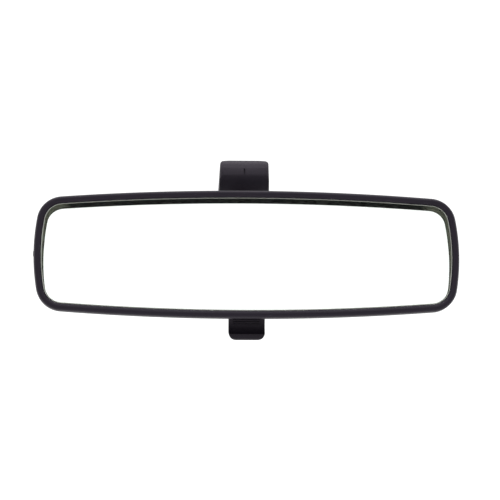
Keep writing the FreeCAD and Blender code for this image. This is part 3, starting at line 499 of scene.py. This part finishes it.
def outline(sizes, inset, long_count=48, end_count=20, corner_count=14):
    """Points (x, z) round the head's outline moved inwards by inset, clockwise from the top left."""
    corner = corner_centre(sizes)
    long_centre = Vector((0, sizes.height / 2 - sizes.long_edge_radius))
    end_centre = Vector((sizes.width / 2 - sizes.end_edge_radius, 0))
    long_way = corner - long_centre
    end_way = corner - end_centre
    long_angle = math.atan2(long_way.y, long_way.x)
    end_angle = math.atan2(end_way.y, end_way.x)
    long_radius = sizes.long_edge_radius - inset
    bend_radius = sizes.corner_radius - inset
    top = arc_points(long_centre, long_radius, math.pi - long_angle, long_angle, long_count)
    bend = arc_points(corner, bend_radius, long_angle, end_angle, corner_count)
    end = arc_points(end_centre, sizes.end_edge_radius - inset, end_angle, -end_angle, end_count)
    low_corner = Vector((corner.x, -corner.y))
    low_bend = arc_points(low_corner, bend_radius, -end_angle, -long_angle, corner_count)
    half = top + bend + end + low_bend
    return half + [-point for point in half]


def start_ring(mesh, points):
    """Closed ring of vertices, and the edges between them."""
    vertices = [mesh.verts.new(point) for point in points]
    edges = [mesh.edges.new((vertices[i - 1], vertices[i])) for i in range(len(vertices))]
    return vertices, edges


def next_ring(mesh, ring, points, material=0):
    """Extrudes a ring and sets the new vertices on the given points, in the same order."""
    vertices, edges = ring
    made = bmesh.ops.extrude_edge_only(mesh, edges=edges)["geom"]
    fresh = {item for item in made if isinstance(item, bmesh.types.BMVert)}
    moved = []
    for vertex, point in zip(vertices, points):
        follower = next(e.other_vert(vertex) for e in vertex.link_edges if e.other_vert(vertex) in fresh)
        follower.co = point
        moved.append(follower)
    for item in made:
        if isinstance(item, bmesh.types.BMFace):
            item.material_index = material
    return moved, [mesh.edges.get((moved[i - 1], moved[i])) for i in range(len(moved))]


def cap(mesh, ring):
    """Face across a ring, in the piece's first material."""
    made = bmesh.ops.contextual_create(mesh, geom=ring[1])
    for face in made["faces"]:
        face.material_index = 0


def weld(mesh):
    """Merges vertices that lie on each other."""
    bmesh.ops.remove_doubles(mesh, verts=mesh.verts, dist=1e-6)


def head_ring(sizes, inset, depth):
    """Points on the head's outline; depth is a number or a function of the height."""
    points = []
    for x, z in outline(sizes, inset):
        y = depth(z) if callable(depth) else depth
        points.append(HEAD_CENTRE + Vector((x, y, z)))
    return points


def smooth_piece(mesh, name, slots, body, replaced, angle):
    """Turns a bmesh into a finished piece that rides on a body and stands for a CAD node."""
    bmesh.ops.recalc_face_normals(mesh, faces=mesh.faces)
    data = bpy.data.meshes.new(name)
    mesh.to_mesh(data)
    mesh.free()
    for slot in slots:
        data.materials.append(finish_of(slot))
    data.shade_smooth()
    data.set_sharp_from_angle(angle=math.radians(angle))
    piece = bpy.data.objects.new(name, data)
    bpy.context.scene.collection.objects.link(piece)
    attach(piece, body)
    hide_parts(replaced)
    return piece


class MIRROR_OT_finishes(bpy.types.Operator):
    """Makes every finish and gives it to the CAD nodes that stay"""
    bl_idname = "mirror.finishes"
    bl_label = "Finishes"

    def execute(self, context):
        make_finishes()
        slots = {part["node"]: part["material_slot"] for part in frame["record"]["subparts"]}
        for name, node in frame["nodes"].items():
            node.data.materials.clear()
            node.data.materials.append(finish_of(slots[name]))
        return {"FINISHED"}


class MIRROR_OT_bezel(bpy.types.Operator):
    """Makes the front bezel with its crowned face and snap skirt"""
    bl_idname = "mirror.bezel"
    bl_label = "Front bezel"

    # Round the section: (inset from the outer outline, depth behind the front of the glass)
    SECTION = (
        (0.0, 4.5), (0.0, 1.2), (0.06, 0.4), (0.3, -0.45), (0.75, -1.1), (1.3, -1.48), (1.9, -1.6),
        (2.6, -1.52), (3.25, -1.28), (3.75, -0.92), (4.1, -0.5), (4.28, -0.2), (4.28, -0.08), (4.2, -0.03),
        (3.0, -0.03), (3.0, 7.4), (2.1, 7.45), (1.4, 4.6), (1.3, 4.5),
    )

    def execute(self, context):
        sizes = context.scene.mirror_head
        mesh = bmesh.new()
        rows = [head_ring(sizes, inset * MM, depth * MM) for inset, depth in self.SECTION]
        ring = start_ring(mesh, rows[0])
        for row in rows[1:] + rows[:1]:
            ring = next_ring(mesh, ring, row)
        weld(mesh)
        for side in (-1, 1):
            place = HEAD_CENTRE + Vector((side * (sizes.width / 2 - NIB_INSET), NIB_DEPTH, 0))
            nib = bmesh.ops.create_cube(mesh, size=1.0, matrix=Matrix.Translation(place))["verts"]
            bmesh.ops.scale(mesh, vec=NIB_SIZE, space=Matrix.Translation(-place), verts=nib)
        piece = smooth_piece(mesh, "bezel_ring", ["bezel_plastic"], "head", "front_bezel", 50.0)
        return {"FINISHED"}


class MIRROR_OT_glass(bpy.types.Operator):
    """Makes the prism glass with a ground edge"""
    bl_idname = "mirror.glass"
    bl_label = "Prism glass"

    @staticmethod
    def silver_edge(sizes, back, outside):
        """Ring on the back of the glass, this far outside the silver, whose margin widens upwards."""
        ring = []
        for x, z in outline(sizes, sizes.glass_inset + sizes.margin - outside):
            rise = min(max((z - sizes.taper_foot) / sizes.taper_length, 0.0), 1.0)
            narrow = 1 - rise * sizes.end_margin / (sizes.width / 2)
            low = z - sizes.silver_drop * max(z, 0.0) / (sizes.height / 2)
            ring.append(HEAD_CENTRE + Vector((x * narrow, back(low), low)))
        return ring

    def execute(self, context):
        sizes = context.scene.mirror_head
        slope = math.tan(sizes.wedge)

        def back(z):
            return sizes.glass_middle + z * slope

        mesh = bmesh.new()
        front = start_ring(mesh, head_ring(sizes, sizes.glass_inset + sizes.arris, 0.0))
        cap(mesh, front)
        shoulder = next_ring(mesh, front, head_ring(sizes, sizes.glass_inset, sizes.arris), 1)
        rear = next_ring(mesh, shoulder, head_ring(sizes, sizes.glass_inset, back), 2)
        painted = next_ring(mesh, rear, self.silver_edge(sizes, back, sizes.line_width), 3)
        lined = next_ring(mesh, painted, self.silver_edge(sizes, back, 0.0), 4)
        cap(mesh, lined)
        slots = ["mirror_glass", "ground_edge", "glass_wall", "edge_paint", "edge_line"]
        piece = smooth_piece(mesh, "wedge_glass", slots, "head", "prism_glass", 20.0)
        return {"FINISHED"}


def merged_copy(node):
    """Mesh of a CAD node with its doubled corners merged and its flat faces joined."""
    mesh = bmesh.new()
    mesh.from_mesh(frame["nodes"][node].data)
    bmesh.ops.remove_doubles(mesh, verts=mesh.verts, dist=2e-6)
    bmesh.ops.dissolve_limit(mesh, angle_limit=math.radians(0.6), verts=mesh.verts, edges=mesh.edges)
    bmesh.ops.recalc_face_normals(mesh, faces=mesh.faces)
    return mesh


def round_edges(mesh, width, angle, wanted):
    """Rounds the hard outer edges whose middle is wanted."""
    edges = []
    for edge in mesh.edges:
        if not edge.is_manifold or not edge.is_convex:
            continue
        middle = (edge.verts[0].co + edge.verts[1].co) / 2
        if edge.calc_face_angle() > math.radians(angle) and wanted(middle):
            edges.append(edge)
    bmesh.ops.bevel(mesh, geom=edges, offset=width, offset_type="OFFSET", affect="EDGES", segments=3,
                    profile=0.5, clamp_overlap=True, material=-1)


class MIRROR_OT_foot(bpy.types.Operator):
    """Makes the foot and arm that hold the head, with rounded edges"""
    bl_idname = "mirror.foot"
    bl_label = "Foot and arm"

    def execute(self, context):
        mesh = merged_copy("mount_arm")
        rounding = context.scene.mirror_head.foot_rounding
        round_edges(mesh, rounding, 35.0, lambda point: point.y < FOOT_REAR and point.z > FOOT_LOW)
        piece = smooth_piece(mesh, "foot_and_arm", ["grained_plastic"], "mount", "mount_arm", 30.0)
        return {"FINISHED"}


class MIRROR_OT_lever(bpy.types.Operator):
    """Makes the dip lever with rounded edges"""
    bl_idname = "mirror.lever"
    bl_label = "Dip lever"

    def execute(self, context):
        mesh = merged_copy("dip_lever")
        rounding = context.scene.mirror_head.lever_rounding
        round_edges(mesh, rounding, 40.0, lambda point: point.z < LEVER_PIVOT.z - HUB_REACH)
        piece = smooth_piece(mesh, "finger_lever", ["lever_plastic"], "lever", "dip_lever", 30.0)
        return {"FINISHED"}


class MIRROR_OT_stage(bpy.types.Operator):
    """Makes the floor, the lights and the camera"""
    bl_idname = "mirror.stage"
    bl_label = "Stage"

    def execute(self, context):
        stage = context.scene.mirror_stage
        self.make_world(stage)
        self.make_floor(stage)
        self.make_flag(stage)
        self.make_lights(stage)
        self.make_camera(stage)
        context.scene.view_settings.view_transform = "Standard"
        return {"FINISHED"}

    @staticmethod
    def make_world(stage):
        """Even white surround."""
        world = bpy.data.worlds.new("white_surround")
        world.use_nodes = True
        background = world.node_tree.nodes["Background"]
        background.inputs["Color"].default_value = (1, 1, 1, 1)
        background.inputs["Strength"].default_value = stage.world
        bpy.context.scene.world = world

    @staticmethod
    def make_floor(stage):
        """Pale paper floor."""
        mesh = bmesh.new()
        bmesh.ops.create_grid(mesh, x_segments=FLOOR_CELLS, y_segments=FLOOR_CELLS, size=FLOOR_HALF)
        level = CAD_BOX[0].z - stage.floor_drop
        bmesh.ops.translate(mesh, verts=mesh.verts, vec=(0, 0, level))
        data = bpy.data.meshes.new("floor")
        mesh.to_mesh(data)
        mesh.free()
        surface = Surface("floor_paper")
        fibre = surface.noise(60.0, 3.0)
        shade = surface.blend(fibre, (0.76, 0.76, 0.76, 1), (0.8, 0.8, 0.8, 1))
        data.materials.append(surface.principled({"Base Color": shade, "Roughness": 0.85}))
        floor = bpy.data.objects.new("floor", data)
        bpy.context.scene.collection.objects.link(floor)

    @staticmethod
    def make_flag(stage):
        """Dark flag that only reflections see, so that black plastic doesn't look grey."""
        mesh = bmesh.new()
        half, low, high = stage.flag_half, stage.flag_foot, stage.flag_top
        corners = ((-half, low), (half, low), (half, high), (-half, high))
        mesh.faces.new([mesh.verts.new((x, -stage.flag_distance, z)) for x, z in corners])
        data = bpy.data.meshes.new("flag")
        mesh.to_mesh(data)
        mesh.free()
        surface = Surface("flag_cloth")
        weave = surface.noise(300.0, 2.0)
        shade = surface.blend(weave, (0.01, 0.01, 0.01, 1), (0.014, 0.014, 0.014, 1))
        data.materials.append(surface.principled({"Base Color": shade, "Roughness": 0.9}))
        flag = bpy.data.objects.new("flag", data)
        flag.visible_camera = False
        flag.visible_diffuse = False
        flag.visible_shadow = False
        bpy.context.scene.collection.objects.link(flag)

    @staticmethod
    def make_lights(stage):
        """Four softboxes turned to the head."""
        lamps = (("top_box", (0.0, -0.15, 0.9), (1.2, 0.7), stage.top_light),
                 ("front_box", (0.0, -0.95, 0.75), (1.2, 0.5), stage.front_light),
                 ("left_box", (-1.0, 0.25, 0.0), (0.3, 0.8), stage.side_light),
                 ("right_box", (1.0, 0.25, 0.0), (0.3, 0.8), stage.side_light))
        for name, place, size, power in lamps:
            lamp = bpy.data.lights.new(name, "AREA")
            lamp.shape = "RECTANGLE"
            lamp.size, lamp.size_y = size
            lamp.energy = power
            holder = bpy.data.objects.new(name, lamp)
            bpy.context.scene.collection.objects.link(holder)
            way = HEAD_CENTRE - Vector(place)
            turn = way.to_track_quat("-Z", "Y").to_matrix().to_4x4()
            holder.matrix_world = Matrix.Translation(place) @ turn

    @staticmethod
    def make_camera(stage):
        """Camera below and to the left of the glass's normal, rolled a little."""
        camera = bpy.data.cameras.new("camera")
        camera.sensor_width = 36.0
        camera.lens = camera.sensor_width * stage.distance / stage.view_width
        holder = bpy.data.objects.new("camera", camera)
        bpy.context.scene.collection.objects.link(holder)
        look = Vector((math.sin(stage.azimuth) * math.cos(stage.elevation),
                       math.cos(stage.azimuth) * math.cos(stage.elevation), math.sin(stage.elevation)))
        right = look.cross(Vector((0, 0, 1))).normalized()
        up = right.cross(look)
        aim = HEAD_CENTRE + right * stage.aim_right + up * stage.aim_up
        turn = look.to_track_quat("-Z", "Y").to_matrix() @ Matrix.Rotation(stage.roll, 3, "Z")
        holder.matrix_world = Matrix.Translation(aim - look * stage.distance) @ turn.to_4x4()
        camera.clip_start = 0.01
        camera.clip_end = 50.0
        bpy.context.scene.camera = holder


class MIRROR_PT_panel(bpy.types.Panel):
    """Buttons for every piece"""
    bl_idname = "MIRROR_PT_panel"
    bl_label = "Rearview mirror"
    bl_space_type = "VIEW_3D"
    bl_region_type = "UI"
    bl_category = "Mirror"

    def draw(self, context):
        for operator in OPERATORS:
            self.layout.operator(operator.bl_idname)
        for group in ("mirror_head", "mirror_colours", "mirror_stage"):
            settings = getattr(context.scene, group)
            for name in settings.bl_rna.properties.keys():
                if name not in ("rna_type", "name"):
                    self.layout.prop(settings, name)


OPERATORS = (MIRROR_OT_finishes, MIRROR_OT_bezel, MIRROR_OT_glass, MIRROR_OT_foot, MIRROR_OT_lever,
             MIRROR_OT_stage)
GROUPS = (("mirror_head", HeadSizes), ("mirror_colours", FinishColours), ("mirror_stage", StageSettings))


def register():
    """Registers the classes and their settings."""
    for name, group in GROUPS:
        bpy.utils.register_class(group)
        setattr(bpy.types.Scene, name, bpy.props.PointerProperty(type=group))
    for operator in OPERATORS:
        bpy.utils.register_class(operator)
    bpy.utils.register_class(MIRROR_PT_panel)


def unregister():
    """Takes the classes and their settings away."""
    bpy.utils.unregister_class(MIRROR_PT_panel)
    for operator in reversed(OPERATORS):
        bpy.utils.unregister_class(operator)
    for name, group in reversed(GROUPS):
        delattr(bpy.types.Scene, name)
        bpy.utils.unregister_class(group)


def main():
    """Makes everything in order."""
    register()
    bpy.ops.mirror.finishes()
    bpy.ops.mirror.bezel()
    bpy.ops.mirror.glass()
    bpy.ops.mirror.foot()
    bpy.ops.mirror.lever()
    bpy.ops.mirror.stage()


if __name__ == "__main__":
    main()
